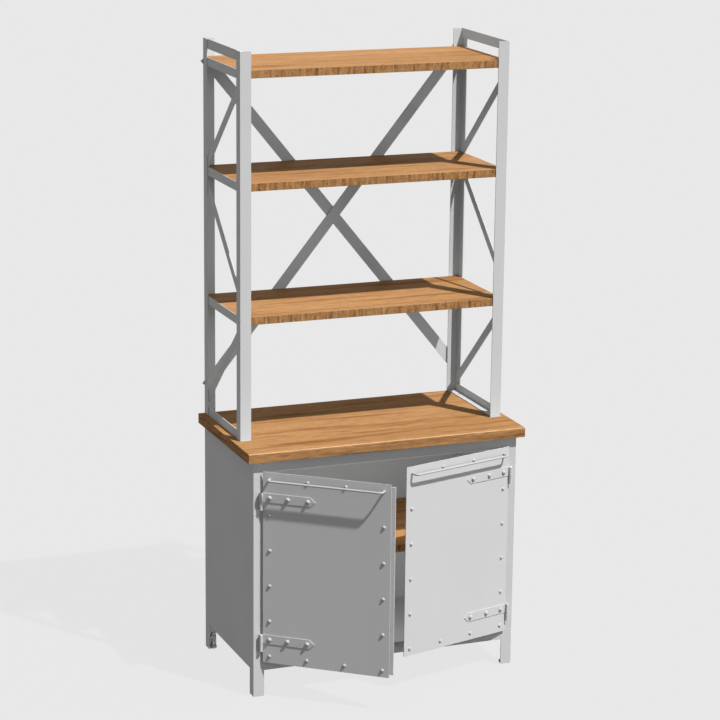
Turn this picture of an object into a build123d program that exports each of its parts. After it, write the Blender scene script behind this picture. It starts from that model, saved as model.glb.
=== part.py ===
from build123d import *
import math
import os

# Driving dimensions, in millimetres and degrees.
# Frame: +Z up, the front faces -Y, the origin is on the floor midway between the four legs.

# Cabinet
cabinet_width = 1000.0
cabinet_depth = 545.0
leg_clearance = 98.0
leg_end_gap = 2.0
angle_width = 40.0
angle_wall = 3.0
front_top_rail_height = 42.0
sheet = 1.2
floor_sheet = 1.5
side_rail_width = 30.0
seam = 0.2

# Worktop
worktop_height = 905.0
worktop_thickness = 35.0
worktop_side_overhang = 25.0
worktop_front_overhang = 22.3
worktop_nose_radius = 5.0
worktop_edge_radius = 2.0

# Inner shelf
inner_shelf_height = 500.0
inner_shelf_thickness = 27.5
inner_shelf_setback = 20.0
ledge_width = 25.0

# Hutch
hutch_depth = 404.0
hutch_height = 2275.0
upper_shelf_drop = 65.5
middle_shelf_share = 0.7014
lower_shelf_share = 0.3404
shelf_thickness = 28.0
shelf_clearance = 0.5
shelf_edge_radius = 0.8
top_bar_height = 35.0
side_brace_width = 30.0
side_brace_drop = 335.0
side_brace_top_gap = 25.0

# Back braces
back_brace_width = 40.0
back_brace_bolt_inset = 20.0
back_brace_rise = 114.0
rising_brace_drop = 66.0
falling_brace_drop = 86.0
back_brace_tail = 20.0
brace_bolt_radius = 5.0
brace_head_flats = 17.0
brace_head_height = 7.0
brace_spacer_radius = 12.0

# Feet
foot_inset = 20.0
foot_disc = 8.0
foot_chamfer = 1.5
foot_stem_radius = 5.0
foot_stem_top = 58.0
foot_plate_width = 26.0
foot_plate_bottom = 40.0
foot_plate_thickness = 5.0
foot_nut_height = 8.0
foot_nut_flats = 16.0

# Doors
left_door_ajar = 39.2
right_door_ajar = 15.5
door_meeting_gap = 9.6
door_bottom_gap = 35.0
door_top_gap = 34.5
door_plate = 2.5
door_frame_depth = 8.0
door_frame_bar = 30.0
door_frame_inset = 6.0
door_frame_reveal = 3.5
door_stand_off = 6.0
meeting_strip_lap = 12.0
meeting_strip_width = 31.0
meeting_strip_depth = 5.0

# Rivets
rivet_inset = 25.0
rivet_columns = 4
rivet_rows = 6
rivet_head_radius = 6.8
rivet_head_height = 4.9
rivet_shank_radius = 2.5
rivet_tail_radius = 4.0
rivet_tail_height = 1.5

# Handles
handle_radius = 4.0
handle_stand_off = 27.0
handle_bend = 12.0

# Strap hinges
hinge_axis_inset = 24.0
hinge_axis_forward = 12.0
hinge_edge_gap = 4.5
hinge_pin_radius = 3.5
hinge_running_clearance = 0.05
hinge_press_clearance = 0.02
hinge_barrel_radius = 6.0
hinge_knuckle_height = 29.0
hinge_knuckle_gap = 0.5
hinge_pin_dome = 2.0
hinge_web = 5.0
hinge_web_gap = 0.8
upper_hinge_drop = 93.0
lower_hinge_rise = 87.5
strap_width = 33.0
strap_thickness = 1.8
strap_straight = 174.0
strap_tip = 193.0
strap_bolt_places = (25.0, 92.0, 166.0)
strap_bolt_head_radius = 8.0
strap_bolt_head_height = 7.2
strap_bolt_radius = 3.0
strap_nut_flats = 10.0
strap_nut_height = 5.0

# Door catches
catch_place = 130.0
catch_width = 50.0
catch_depth = 20.0
catch_drop = 20.0
catch_rise = 22.0
catch_gap = 0.5
strike_width = 40.0
strike_inset = 3.0
strike_thickness = 2.0

# Wood screws
screw_radius = 2.5
screw_length = 18.0
screw_head_radius = 5.0
screw_head_height = 3.0
screw_sink = 2.4
screw_end_inset = 70.0

# Clearance of a fastener or a bar in its hole, and of a sheet's loose edge
hole_clearance = 0.1
edge_clearance = 0.5

# Places worked out from the driving dimensions
half_width = cabinet_width / 2
front = -cabinet_depth / 2
rear = cabinet_depth / 2
worktop_under = worktop_height - worktop_thickness
inner_side = half_width - angle_wall
leg_gap_edge = half_width - angle_width
rail_section = shelf_thickness + angle_wall
upper_shelf_height = hutch_height - upper_shelf_drop
shelf_span = upper_shelf_height - worktop_height
middle_shelf_height = worktop_height + middle_shelf_share * shelf_span
lower_shelf_height = worktop_height + lower_shelf_share * shelf_span
shelf_heights = (upper_shelf_height, middle_shelf_height, lower_shelf_height)
hutch_front = rear - hutch_depth
rail_front = hutch_front + angle_wall
rail_rear = rear - angle_wall
rail_inner = inner_side - angle_wall
bottom_rail_top = leg_clearance + angle_width
top_rail_low = worktop_under - front_top_rail_height
foot_radius = foot_inset - angle_wall - edge_clearance
hinge_x = half_width - hinge_axis_inset
hinge_y = front - hinge_axis_forward
plate_front = hinge_axis_forward - door_stand_off
plate_back = plate_front + door_plate
frame_back = plate_back + door_frame_depth
door_width = hinge_x - hinge_edge_gap - door_meeting_gap / 2
door_bottom = leg_clearance + door_bottom_gap
door_top = worktop_under - door_top_gap
door_frame_hinge_side = hinge_x - leg_gap_edge + door_frame_reveal
door_frame_low = bottom_rail_top + door_frame_reveal
door_frame_top = top_rail_low - door_frame_reveal
hinge_heights = (door_top - upper_hinge_drop, door_bottom + lower_hinge_rise)
brace_bolt_x = half_width - back_brace_bolt_inset
brace_low = worktop_height + back_brace_rise
brace_highs = (hutch_height - rising_brace_drop, hutch_height - falling_brace_drop)


def block(x, y, z):
    """A box between two values along each axis."""
    size = [abs(b - a) for a, b in (x, y, z)]
    middle = [(a + b) / 2 for a, b in (x, y, z)]
    return Pos(*middle) * Box(*size)


def upright(radius, x, y, z):
    """A round bar along Z between two heights."""
    return Pos(x, y, (z[0] + z[1]) / 2) * Cylinder(radius, z[1] - z[0])


def round_along_y(radius, x, y, z):
    """A round bar along Y between two depths."""
    return Pos(x, (y[0] + y[1]) / 2, z) * Rot(90, 0, 0) * Cylinder(radius, y[1] - y[0])


def hexagon(flats, height):
    """A hexagonal prism standing on the XY plane."""
    return extrude(RegularPolygon(flats / math.sqrt(3), 6), height)


def dome(radius, height):
    """A round head on the XY plane: a cap of a sphere."""
    ball = (radius**2 + height**2) / (2 * height)
    cap = Pos(0, 0, height - ball) * Sphere(ball)
    return cap & Pos(0, 0, height) * Box(4 * ball, 4 * ball, 2 * height)


def angle_bar(origin, first, along, widths, length, wall=angle_wall):
    """An angle iron: its corner at origin, its first flange along first, its length along along."""
    a, b = widths
    outline = Polyline((0, 0), (a, 0), (a, wall), (wall, wall), (wall, b), (0, b), (0, 0))
    return extrude(Plane(origin, first, along) * make_face(outline), length)


def mirrored(shape):
    """The same piece on the other side of the object."""
    return mirror(shape, Plane.YZ)


def mirrored_all(shapes):
    return [mirrored(shape) for shape in shapes]


# Cabinet frame

def corner_angle(side, y_corner, y_inward, z):
    """An upright angle iron in one corner, with both flanges turned inwards."""
    first = (-side, 0, 0) if side * y_inward < 0 else (0, y_inward, 0)
    return angle_bar((side * half_width, y_corner, z[0]), first, (0, 0, 1), (angle_width,) * 2, z[1] - z[0])


def leg(side, y_corner, y_inward):
    return corner_angle(side, y_corner, y_inward, (leg_end_gap, worktop_under))


def cross_rail(y_corner, y_inward, z_corner, z_inward, height):
    """A rail between two legs: one flange flush with the legs, the other turned inwards."""
    section = (height, angle_width) if z_inward * y_inward < 0 else (angle_width, height)
    first = (0, 0, z_inward) if z_inward * y_inward < 0 else (0, y_inward, 0)
    return angle_bar((-leg_gap_edge, y_corner, z_corner), first, (1, 0, 0), section, 2 * leg_gap_edge)


def left_bottom_rail():
    corner = (-inner_side + sheet, front + angle_wall, leg_clearance)
    length = cabinet_depth - 2 * angle_wall - sheet
    return angle_bar(corner, (0, 0, 1), (0, 1, 0), (side_rail_width,) * 2, length)


def left_side_panel():
    """A sheet flush with the legs' faces, with joggled edges that lap inside their flanges."""
    lap_out = -inner_side
    lap_in = lap_out + sheet
    face_out = -half_width
    face_in = face_out + sheet
    lap = rear - angle_wall - sheet
    step = rear - angle_width - seam
    outline = [(lap_out, lap), (lap_out, step), (face_out, step)]
    back = [(face_in, step - sheet), (lap_in, step - sheet), (lap_in, lap)]
    far_outline = [(x, -y) for x, y in reversed(outline)]
    far_back = [(x, -y) for x, y in reversed(back)]
    points = outline + far_outline + far_back + back
    face = make_face(Polyline(*points, points[0]))
    return Pos(0, 0, leg_clearance) * extrude(face, worktop_under - leg_clearance)


def back_panel():
    y = rear - angle_wall
    low = leg_clearance + angle_wall
    return block((-inner_side, inner_side), (y - sheet, y), (low, worktop_under - angle_wall))


def floor_panel():
    x = inner_side - sheet - angle_wall - edge_clearance
    y = (front + angle_wall + edge_clearance, rear - angle_wall - sheet - edge_clearance)
    low = leg_clearance + angle_wall
    return block((-x, x), y, (low, low + floor_sheet))


# Feet

def foot_places():
    return [(sx * (half_width - foot_inset), sy * (rear - foot_inset)) for sx in (-1, 1) for sy in (-1, 1)]


def levelling_foot(x, y):
    disc = Pos(x, y, foot_disc / 2) * Cylinder(foot_radius, foot_disc)
    disc = chamfer(disc.edges().filter_by(GeomType.CIRCLE), foot_chamfer)
    return disc + upright(foot_stem_radius, x, y, (foot_disc / 2, foot_stem_top))


def foot_plate(x, y):
    sx, sy = math.copysign(1, x), math.copysign(1, y)
    z = (foot_plate_bottom, foot_plate_bottom + foot_plate_thickness)
    along_x = (sx * (inner_side - foot_plate_width), sx * inner_side)
    along_y = (sy * (rear - angle_wall - foot_plate_width), sy * (rear - angle_wall))
    return block(along_x, along_y, z) - upright(foot_stem_radius + hole_clearance, x, y, z)


def foot_lock_nut(x, y):
    z = (foot_plate_bottom - foot_nut_height, foot_plate_bottom)
    nut = Pos(x, y, z[0]) * hexagon(foot_nut_flats, foot_nut_height)
    return nut - upright(foot_stem_radius + hole_clearance, x, y, z)


# Wood screws and the holes that they pass through

def screw_places():
    """Each screw's head place, below the flange that it holds: x, y and the flange's underside."""
    across = leg_gap_edge - screw_end_inset
    rail_y = rear - angle_width / 2
    under_worktop = worktop_under - angle_wall
    places = [(x, y, under_worktop) for x in (-across, 0, across) for y in (-rail_y, rail_y)]
    side_x = inner_side - rail_section / 2
    side_y = (rail_front + screw_end_inset, rail_rear - screw_end_inset)
    for top in shelf_heights:
        places += [(x, y, top - rail_section) for x in (-side_x, side_x) for y in side_y]
    return places


def worktop_screw_places():
    """Screws from above through the base rails: x, y and the flange's top."""
    side_x = inner_side - rail_section / 2
    side_y = (rail_front + screw_end_inset, rail_rear - screw_end_inset)
    return [(x, y, worktop_height + angle_wall) for x in (-side_x, side_x) for y in side_y]


def pan_head_screw():
    """A domed head on the XY plane with its shank down -Z."""
    return dome(screw_head_radius, screw_head_height) + upright(screw_radius, 0, 0, (-screw_length, 0))


def flush_screw(room=0.0):
    """A countersunk head level with the XY plane and its shank down -Z, with room added all round."""
    radius = screw_radius + room
    head = Pos(0, 0, -screw_sink / 2) * Cone(radius, screw_head_radius + room, screw_sink)
    return head + upright(radius, 0, 0, (-screw_length - room, 0))


def wood_screws():
    rising = [Pos(*place) * Rot(180, 0, 0) * pan_head_screw() for place in screw_places()]
    return rising + [Pos(*place) * flush_screw() for place in worktop_screw_places()]


def screw_holes():
    radius = screw_radius + hole_clearance
    depth = screw_length + hole_clearance
    rising = [upright(radius, x, y, (z - hole_clearance, z + depth)) for x, y, z in screw_places()]
    return rising + [Pos(*place) * flush_screw(hole_clearance) for place in worktop_screw_places()]


def drilled(shape, tools):
    """The shape with every tool that reaches into it cut away."""
    box = shape.bounding_box()

    def reaches(tool):
        other = tool.bounding_box()
        low = [max(a, b) for a, b in zip(tuple(box.min), tuple(other.min))]
        high = [min(a, b) for a, b in zip(tuple(box.max), tuple(other.max))]
        return all(a < b for a, b in zip(low, high))

    near = [tool for tool in tools if reaches(tool)]
    return shape - near if near else shape


# Wood pieces

def worktop():
    x = half_width + worktop_side_overhang
    y = (front - worktop_front_overhang, rear)
    slab = block((-x, x), y, (worktop_under, worktop_height))
    nose = slab.edges().filter_by(Axis.X).group_by(Axis.Z)[-1].sort_by(Axis.Y)[0]
    slab = fillet(nose, worktop_nose_radius)
    ends = slab.edges().filter_by(Axis.Z)
    return fillet(ends, worktop_edge_radius)


def shelf(top):
    x = rail_inner - shelf_clearance
    y = (rail_front + shelf_clearance, rail_rear - shelf_clearance)
    board = block((-x, x), y, (top - shelf_thickness, top))
    return fillet(board.edges().filter_by(Axis.X), shelf_edge_radius)


def inner_shelf():
    x = inner_side - sheet - edge_clearance
    y = (front + inner_shelf_setback, rear - angle_wall - sheet - edge_clearance)
    board = block((-x, x), y, (inner_shelf_height - inner_shelf_thickness, inner_shelf_height))
    return fillet(board.edges().filter_by(Axis.X), shelf_edge_radius)


def left_shelf_ledge():
    corner = (-inner_side + sheet, front + inner_shelf_setback, inner_shelf_height - inner_shelf_thickness)
    length = cabinet_depth - inner_shelf_setback - angle_wall - sheet
    return angle_bar(corner, (1, 0, 0), (0, 1, 0), (ledge_width,) * 2, length)


# Hutch

def post(side, y_corner, y_inward):
    return corner_angle(side, y_corner, y_inward, (worktop_height, hutch_height))


def left_side_rail(bottom):
    """A rail between two posts: one flange upright against them, the other flat and inwards."""
    corner = (-inner_side, rail_front, bottom)
    return angle_bar(corner, (0, 0, 1), (0, 1, 0), (rail_section,) * 2, rail_rear - rail_front)


def left_side_rails():
    return [left_side_rail(top - rail_section) for top in shelf_heights] + [left_side_rail(worktop_height)]


def left_top_bar():
    z = (hutch_height - top_bar_height, hutch_height)
    return block((-inner_side, -rail_inner), (rail_front, rail_rear), z)


def left_side_brace(upper_rail, lower_rail, falls_to_rear):
    """A flat bar across one bay, cut off square at the posts and at the rails above and below."""
    start = upper_rail - rail_section - side_brace_top_gap
    run = hutch_depth - angle_width
    middle = (hutch_front + hutch_depth / 2, start - side_brace_drop / 2)
    tilt = math.degrees(math.atan2(side_brace_drop, run)) * (1 if falls_to_rear else -1)
    strip = Rot(-tilt, 0, 0) * Box(angle_wall, 2 * hutch_depth, side_brace_width)
    strip = Pos(-inner_side + angle_wall / 2, *middle) * strip
    bay = block((-inner_side, -rail_inner), (rail_front, rail_rear), (lower_rail, upper_rail - rail_section))
    return strip & bay


def left_side_braces():
    return [
        left_side_brace(upper_shelf_height, middle_shelf_height, True),
        left_side_brace(middle_shelf_height, lower_shelf_height, False),
        left_side_brace(lower_shelf_height, worktop_height + rail_section, True),
    ]


# Back braces

def brace_bolt_places():
    """Every bolt with the layer of the brace that it holds: 0 against the posts, 1 outside."""
    rising = [(-brace_bolt_x, brace_low, 0), (brace_bolt_x, brace_highs[0], 0)]
    falling = [(brace_bolt_x, brace_low, 1), (-brace_bolt_x, brace_highs[1], 1)]
    return rising + falling


def brace_bolt_holes():
    y = (rear - 2 * angle_wall, rear + 3 * angle_wall)
    radius = brace_bolt_radius + hole_clearance
    return [round_along_y(radius, x, y, z) for x, z, _ in brace_bolt_places()]


def back_brace(layer):
    """A flat bar from one post's foot to the other post's head, behind the posts."""
    run = 2 * brace_bolt_x
    rise = brace_highs[layer] - brace_low
    length = math.hypot(run, rise) + 2 * back_brace_tail
    tilt = math.degrees(math.atan2(rise, run)) * (1 if layer == 0 else -1)
    y = rear + angle_wall * (layer + 0.5)
    bar = Rot(0, -tilt, 0) * Box(length, angle_wall, back_brace_width)
    return Pos(0, y, brace_low + rise / 2) * bar


def brace_bolts():
    """The bolts, which screw into the posts from behind, and the spacers of the outer brace."""
    pieces = []
    for x, z, layer in brace_bolt_places():
        seat = rear + angle_wall * (layer + 1)
        head = Pos(x, seat, z) * Rot(-90, 0, 0) * hexagon(brace_head_flats, brace_head_height)
        pieces.append(head + round_along_y(brace_bolt_radius, x, (rear - angle_wall, seat + 1), z))
        if layer:
            spacer = round_along_y(brace_spacer_radius, x, (rear, rear + angle_wall), z)
            hole = round_along_y(brace_bolt_radius + hole_clearance, x, (rear, rear + angle_wall), z)
            pieces.append(spacer - hole)
    return pieces


# Hinge pieces fixed to the left leg

def knuckle_span(height):
    """The fixed knuckle below the strap's eye."""
    top = height - strap_width / 2 - hinge_knuckle_gap
    return top - hinge_knuckle_height, top


def left_hinge_leaf(height):
    """The fixed knuckle with a web that is welded to the leg's face and runs up behind the eye."""
    low, high = knuckle_span(height)
    web_x = (-hinge_x - hinge_web / 2, -hinge_x + hinge_web / 2)
    lower_web = block(web_x, (hinge_y, front), (low, high))
    behind_eye = hinge_y + max(hinge_barrel_radius, plate_front) + hinge_web_gap
    upper_web = block(web_x, (behind_eye, front), (high, height + strap_width / 2))
    leaf = upright(hinge_barrel_radius, -hinge_x, hinge_y, (low, high)) + lower_web + upper_web
    return leaf - upright(hinge_pin_radius + hinge_press_clearance, -hinge_x, hinge_y, (low, high))


def left_hinge_pin(height):
    top = height + strap_width / 2
    shank = upright(hinge_pin_radius, -hinge_x, hinge_y, (knuckle_span(height)[0], top))
    return shank + Pos(-hinge_x, hinge_y, top) * dome(hinge_pin_radius, hinge_pin_dome)


# Door catches

def door_catch(side):
    """A magnet case behind the front bottom rail, with a set-back head above the rail."""
    x = (side * catch_place - catch_width / 2, side * catch_place + catch_width / 2)
    rail_back = front + angle_wall
    case_back = rail_back + catch_depth
    head_front = hinge_y + frame_back + strike_thickness + catch_gap
    case = block(x, (rail_back, case_back), (bottom_rail_top - catch_drop, bottom_rail_top))
    head = block(x, (head_front, case_back), (bottom_rail_top, bottom_rail_top + catch_rise))
    return case + head


# Door pieces, in the door's own frame: the hinge axis is Z, the shut door runs along +X and faces -Y

def along_door(distance):
    """Distance from the hinge axis of a place that is measured from the plate's hinge edge."""
    return hinge_edge_gap + distance


def rivet_grid():
    """The rivets' places round the plate's edge, with the two that the handle takes left out."""
    step_x = (door_width - 2 * rivet_inset) / (rivet_columns - 1)
    step_z = (door_top - door_bottom - 2 * rivet_inset) / (rivet_rows - 1)
    places = []
    for column in range(rivet_columns):
        for row in range(rivet_rows):
            inside = 0 < column < rivet_columns - 1 and 0 < row < rivet_rows - 1
            handle_end = column in (0, rivet_columns - 1) and row == rivet_rows - 1
            if not inside and not handle_end:
                x = along_door(rivet_inset + column * step_x)
                places.append((x, door_bottom + rivet_inset + row * step_z))
    return places


def handle_ends():
    return [along_door(rivet_inset), along_door(door_width - rivet_inset)]


def strap_bolts_at():
    return [(along_door(place), height) for height in hinge_heights for place in strap_bolt_places]


def door_holes():
    depth = (plate_front - strap_thickness, frame_back)
    rivets = [round_along_y(rivet_shank_radius + hole_clearance, x, depth, z) for x, z in rivet_grid()]
    bolts = [round_along_y(strap_bolt_radius + hole_clearance, x, depth, z) for x, z in strap_bolts_at()]
    z = door_top - rivet_inset
    ends = [round_along_y(handle_radius + hole_clearance, x, depth, z) for x in handle_ends()]
    return rivets + bolts + ends


def door_plate_piece():
    x = (along_door(0), along_door(door_width))
    return block(x, (plate_front, plate_back), (door_bottom, door_top))


def door_frame():
    """Four flat bars behind the plate, butted at the corners, which enter the opening."""
    left = door_frame_hinge_side
    right = along_door(door_width - door_frame_inset)
    depth = (plate_back, frame_back)
    low, top = door_frame_low, door_frame_top
    inner = (left + door_frame_bar, right - door_frame_bar)
    return [
        block((left, inner[0]), depth, (low, top)),
        block((inner[1], right), depth, (low, top)),
        block(inner, depth, (low, low + door_frame_bar)),
        block(inner, depth, (top - door_frame_bar, top)),
    ]


def meeting_strip():
    """A flat bar on the back of the frame, which reaches past the plate's free edge."""
    right = along_door(door_width + meeting_strip_lap)
    depth = (frame_back, frame_back + meeting_strip_depth)
    return block((right - meeting_strip_width, right), depth, (door_frame_low, door_frame_top))


def handle():
    """A round bar bent to a shallow U, with its ends through the plate and the frame."""
    z = door_top - rivet_inset
    left, right = handle_ends()
    reach = plate_front - handle_stand_off
    points = [(left, frame_back, z), (left, reach, z), (right, reach, z), (right, frame_back, z)]
    path = FilletPolyline(*points, radius=handle_bend)
    return sweep(Plane(points[0], z_dir=(0, -1, 0)) * Circle(handle_radius), path=path)


def strap(height):
    """A strap with a pointed tip, rolled to an eye round the pin."""
    half = strap_width / 2
    straight = along_door(strap_straight)
    outline = Polyline(
        (0, height - half),
        (straight, height - half),
        (along_door(strap_tip), height),
        (straight, height + half),
        (0, height + half),
        (0, height - half),
    )
    face = Plane((0, plate_front, 0), x_dir=(1, 0, 0), z_dir=(0, -1, 0)) * make_face(outline)
    span = (height - half, height + half)
    body = extrude(face, strap_thickness) + upright(hinge_barrel_radius, 0, 0, span)
    return body - upright(hinge_pin_radius + hinge_running_clearance, 0, 0, span)


def rivets():
    front_head = Rot(90, 0, 0) * dome(rivet_head_radius, rivet_head_height)
    tail_head = Rot(-90, 0, 0) * dome(rivet_tail_radius, rivet_tail_height)
    pieces = []
    for x, z in rivet_grid():
        shank = round_along_y(rivet_shank_radius, x, (plate_front, frame_back), z)
        pieces.append(Pos(x, plate_front, z) * front_head + shank + Pos(x, frame_back, z) * tail_head)
    return pieces


def hinge_bolts():
    """Domed bolts through the straps and their nuts behind the plate or the frame."""
    head = Rot(90, 0, 0) * dome(strap_bolt_head_radius, strap_bolt_head_height)
    nut = Rot(-90, 0, 0) * hexagon(strap_nut_flats, strap_nut_height)
    face = plate_front - strap_thickness
    frame_edge = door_frame_hinge_side + door_frame_bar
    pieces = []
    for x, z in strap_bolts_at():
        seat = frame_back if x < frame_edge else plate_back
        end = seat + strap_nut_height
        shank = round_along_y(strap_bolt_radius, x, (face, end), z)
        pieces.append(Pos(x, face, z) * head + shank)
        hole = round_along_y(strap_bolt_radius + hole_clearance, x, (seat, end), z)
        pieces.append(Pos(x, seat, z) * nut - hole)
    return pieces


def strike():
    """A thin steel plate on the frame's bottom bar, which meets the catch."""
    middle = hinge_x - catch_place
    x = (middle - strike_width / 2, middle + strike_width / 2)
    z = (door_frame_low + strike_inset, door_frame_low + door_frame_bar - strike_inset)
    return block(x, (frame_back, frame_back + strike_thickness), z)


def door_pieces(name):
    """One door's pieces by name, in the door's own frame."""
    holes = door_holes()
    return {
        f"{name}_door_plate": [drilled(door_plate_piece(), holes)],
        f"{name}_door_frame": [drilled(bar, holes) for bar in door_frame()],
        f"{name}_door_handle": [handle()],
        f"{name}_strap_hinges": [drilled(strap(height), holes) for height in hinge_heights],
        f"{name}_door_rivets": rivets(),
        f"{name}_hinge_bolts": hinge_bolts(),
        f"{name}_door_strike": [strike()],
    }


# Assembly

def frame_nodes():
    """Every piece that stands still, by name."""
    holes = screw_holes()
    brace_holes = brace_bolt_holes()
    under = worktop_under
    low = leg_clearance
    nodes = {
        "front_left_leg": [leg(-1, front, 1)],
        "front_right_leg": [leg(1, front, 1)],
        "rear_left_leg": [leg(-1, rear, -1)],
        "rear_right_leg": [leg(1, rear, -1)],
        "front_top_rail": [drilled(cross_rail(front, 1, under, -1, front_top_rail_height), holes)],
        "front_bottom_rail": [cross_rail(front, 1, low, 1, angle_width)],
        "rear_top_rail": [drilled(cross_rail(rear, -1, under, -1, angle_width), holes)],
        "rear_bottom_rail": [cross_rail(rear, -1, low, 1, angle_width)],
        "back_panel": [back_panel()],
        "floor_panel": [floor_panel()],
        "inner_shelf": [inner_shelf()],
        "worktop": [drilled(worktop(), holes)],
        "levelling_feet": [levelling_foot(x, y) for x, y in foot_places()],
        "foot_plates": [foot_plate(x, y) for x, y in foot_places()],
        "foot_lock_nuts": [foot_lock_nut(x, y) for x, y in foot_places()],
        "wood_screws": wood_screws(),
        "door_catches": [door_catch(-1), door_catch(1)],
        "front_left_post": [post(-1, hutch_front, 1)],
        "front_right_post": [post(1, hutch_front, 1)],
        "rear_left_post": [drilled(post(-1, rear, -1), brace_holes)],
        "rear_right_post": [drilled(post(1, rear, -1), brace_holes)],
        "back_brace_rising": [drilled(back_brace(0), brace_holes[:2])],
        "back_brace_falling": [drilled(back_brace(1), brace_holes[2:])],
        "brace_bolts": brace_bolts(),
        "upper_shelf": [drilled(shelf(upper_shelf_height), holes)],
        "middle_shelf": [drilled(shelf(middle_shelf_height), holes)],
        "lower_shelf": [drilled(shelf(lower_shelf_height), holes)],
    }
    left_pieces = {
        "bottom_rail": [left_bottom_rail()],
        "side_panel": [left_side_panel()],
        "shelf_ledge": [left_shelf_ledge()],
        "hinge_leaves": [left_hinge_leaf(height) for height in hinge_heights],
        "hinge_pins": [left_hinge_pin(height) for height in hinge_heights],
        "top_bar": [left_top_bar()],
        "side_rails": [drilled(rail, holes) for rail in left_side_rails()],
        "side_braces": left_side_braces(),
    }
    for name, shapes in left_pieces.items():
        nodes[f"left_{name}"] = shapes
        nodes[f"right_{name}"] = mirrored_all(shapes)
    return nodes


def door_nodes():
    """Both doors' pieces by name, each door swung to the angle at which it stands ajar."""
    left = door_pieces("left")
    left["left_meeting_strip"] = [meeting_strip()]
    right = {node: mirrored_all(shapes) for node, shapes in door_pieces("right").items()}
    left_place = Pos(-hinge_x, hinge_y, 0) * Rot(0, 0, -left_door_ajar)
    right_place = Pos(hinge_x, hinge_y, 0) * Rot(0, 0, right_door_ajar)
    nodes = {node: [left_place * shape for shape in shapes] for node, shapes in left.items()}
    nodes.update({node: [right_place * shape for shape in shapes] for node, shapes in right.items()})
    return nodes


def main():
    os.makedirs("parts", exist_ok=True)
    for name, shapes in {**frame_nodes(), **door_nodes()}.items():
        solids = [solid for shape in shapes for solid in shape.solids()]
        piece = solids[0] if len(solids) == 1 else Compound(children=solids)
        export_step(piece, f"parts/{name}.step")


if __name__ == "__main__":
    main()
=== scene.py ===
"""Looks for a tall buffet: painted angle iron and riveted doors, oiled wood boards, plain studio stage."""

import math

import bpy
import numpy as np
from mathutils import Matrix, Vector


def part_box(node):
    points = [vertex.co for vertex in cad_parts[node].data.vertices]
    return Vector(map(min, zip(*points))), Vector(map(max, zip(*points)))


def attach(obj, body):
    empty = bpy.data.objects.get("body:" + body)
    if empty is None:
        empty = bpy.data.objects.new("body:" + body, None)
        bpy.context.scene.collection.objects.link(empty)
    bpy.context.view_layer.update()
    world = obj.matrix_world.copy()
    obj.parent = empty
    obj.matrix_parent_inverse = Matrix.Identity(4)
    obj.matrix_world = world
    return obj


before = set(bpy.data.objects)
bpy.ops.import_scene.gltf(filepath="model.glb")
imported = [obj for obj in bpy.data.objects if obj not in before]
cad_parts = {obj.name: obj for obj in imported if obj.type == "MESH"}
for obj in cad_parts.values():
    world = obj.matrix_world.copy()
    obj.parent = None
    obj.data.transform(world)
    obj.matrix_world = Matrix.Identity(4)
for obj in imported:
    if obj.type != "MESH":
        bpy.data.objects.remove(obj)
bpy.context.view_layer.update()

bl_info = {
    "name": "Tall steel and wood buffet",
    "version": (1, 0, 0),
    "blender": (4, 5, 0),
    "location": "View3D > Sidebar > Buffet",
    "description": "Finishes the buffet's steel and wood pieces and sets them on a plain stage",
    "category": "Object",
}

FRAME_NODES = (
    "front_left_leg",
    "front_right_leg",
    "rear_left_leg",
    "rear_right_leg",
    "front_top_rail",
    "front_bottom_rail",
    "rear_top_rail",
    "rear_bottom_rail",
    "left_bottom_rail",
    "right_bottom_rail",
    "left_shelf_ledge",
    "right_shelf_ledge",
    "front_left_post",
    "front_right_post",
    "rear_left_post",
    "rear_right_post",
    "left_top_bar",
    "right_top_bar",
    "left_side_rails",
    "right_side_rails",
    "left_side_braces",
    "right_side_braces",
    "back_brace_rising",
    "back_brace_falling",
    "foot_plates",
)
PANEL_NODES = ("left_side_panel", "right_side_panel", "back_panel", "floor_panel")
DOOR_NODES = (
    "left_door_plate",
    "right_door_plate",
    "left_door_frame",
    "right_door_frame",
    "left_meeting_strip",
)
HINGE_NODES = (
    "left_strap_hinges",
    "right_strap_hinges",
    "left_hinge_leaves",
    "right_hinge_leaves",
)
STUD_NODES = (
    "left_door_rivets",
    "right_door_rivets",
    "left_hinge_bolts",
    "right_hinge_bolts",
    "left_door_handle",
    "right_door_handle",
)
BRIGHT_NODES = (
    "brace_bolts",
    "left_hinge_pins",
    "right_hinge_pins",
    "wood_screws",
    "left_door_strike",
    "right_door_strike",
)
FOOT_NODES = ("levelling_feet", "foot_lock_nuts")
CATCH_NODES = ("door_catches",)
SHELF_NODES = ("upper_shelf", "middle_shelf", "lower_shelf", "inner_shelf")
WHITE = (1.0, 1.0, 1.0, 1.0)

# Stretch of each layer of the wood's pattern: along the grain, across it and through the board
GRAIN_SWAY = (2.2, 7.0, 7.0)
GRAIN_TONE = (1.3, 15.0, 15.0)
GRAIN_STREAK = (1.7, 30.0, 30.0)
GRAIN_BLOTCH = (24.0, 46.0, 46.0)
GRAIN_DASH = (13.0, 90.0, 90.0)
GRAIN_FIBRE = (6.0, 420.0, 420.0)
GRAIN_PORE = (40.0, 1500.0, 1500.0)
STAVE_SLIDE = 0.7
SAWN_STRETCH = 3.5
SAWN_WIDTH = 2.4
BOARD_THROUGH = 3.0
BOARD_STEP = 1.37
BOARD_EDGE = 0.001
OIL_COAT_ROUGHNESS = 0.32
OIL_SPECULAR = 0.006
BOUNCED_WOOD = (0.42, 0.41, 0.4, 1.0)

# How fine the layers of the paint are, in waves per metre
PAINT_CLOUD = 3.2
PAINT_DRIFT = (14.0, 14.0, 1.1)
PAINT_RUB = 38.0
PAINT_FLECK = 150.0
PAINT_PEEL = 520.0
PAINT_HANDLED = 11.0
PAINT_SPECULAR = 0.18

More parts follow.
